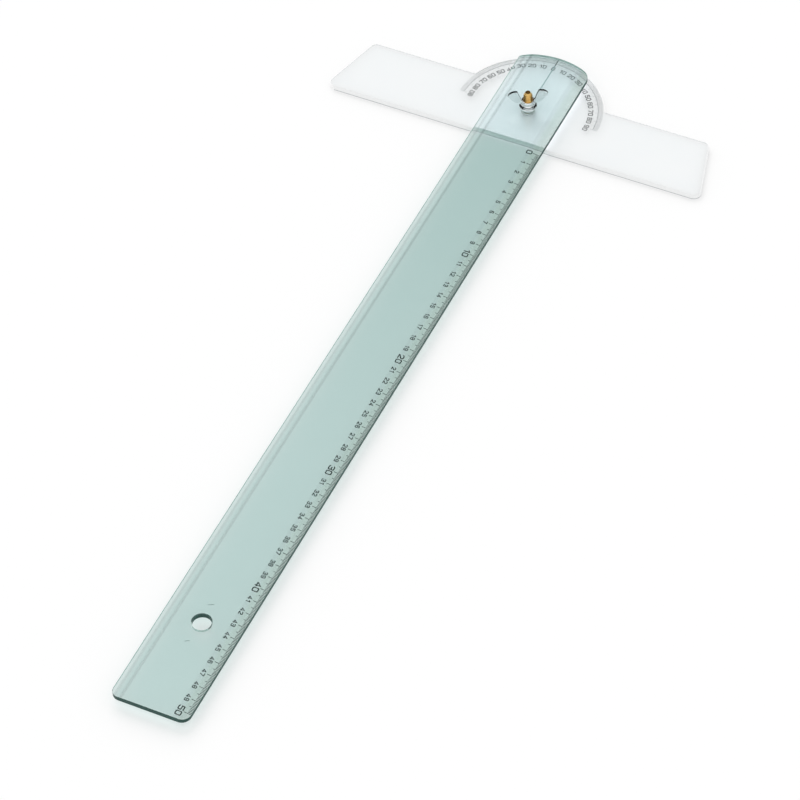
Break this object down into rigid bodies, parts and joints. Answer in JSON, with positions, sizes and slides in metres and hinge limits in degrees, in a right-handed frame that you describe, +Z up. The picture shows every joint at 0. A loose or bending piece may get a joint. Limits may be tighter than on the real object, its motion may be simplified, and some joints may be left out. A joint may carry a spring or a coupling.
{
  "type": "adjustable t-square",
  "caption": "Drafting T-square with a tinted bevelled straightedge that swivels on a clear protractor head and is clamped by a wing nut on a brass screw.",
  "frame": {"origin": "on the swivel axis, level with the underside of the protractor head, which is the face of the screw's flush head", "axes": "+X along the head towards the right end of the dial, +Y away from the straightedge's free end (the straightedge points along -Y at zero degrees), +Z up through the straightedge to the wing nut"},
  "size_m": [0.2676, 0.596, 0.0214],
  "materials": {
    "clear_acrylic": "polished clear cast acrylic sheet",
    "tinted_acrylic": "polished cast acrylic sheet with a light green-blue tint",
    "brass": "turned and threaded",
    "plated_steel": "bright nickel plate"
  },
  "bodies": {
    "head": {"protractor_head": "clear_acrylic", "pivot_screw": "brass"},
    "straightedge": {"straightedge_blade": "tinted_acrylic"},
    "washer": {"flat_washer": "plated_steel"},
    "nut": {"wing_nut": "plated_steel"}
  },
  "joints": [
    {"name": "blade_swivel", "type": "hinge", "parent": "head", "child": "straightedge", "pos_m": [0, 0, 0.0036], "axis": [0, 0, 1], "continuous": true},
    {"name": "washer_lift", "type": "slide", "parent": "head", "child": "washer", "axis": [0, 0, 1], "range_m": [0, 0.00601]},
    {"name": "nut_spin", "type": "hinge", "parent": "washer", "child": "nut", "pos_m": [0, 0, 0.0089], "axis": [0, 0, 1], "range_deg": [0, 2160]}
  ],
  "couplings": [
    {"joint": "washer_lift", "follows": "nut_spin", "m_per_rad": 0.00015915}
  ]
}
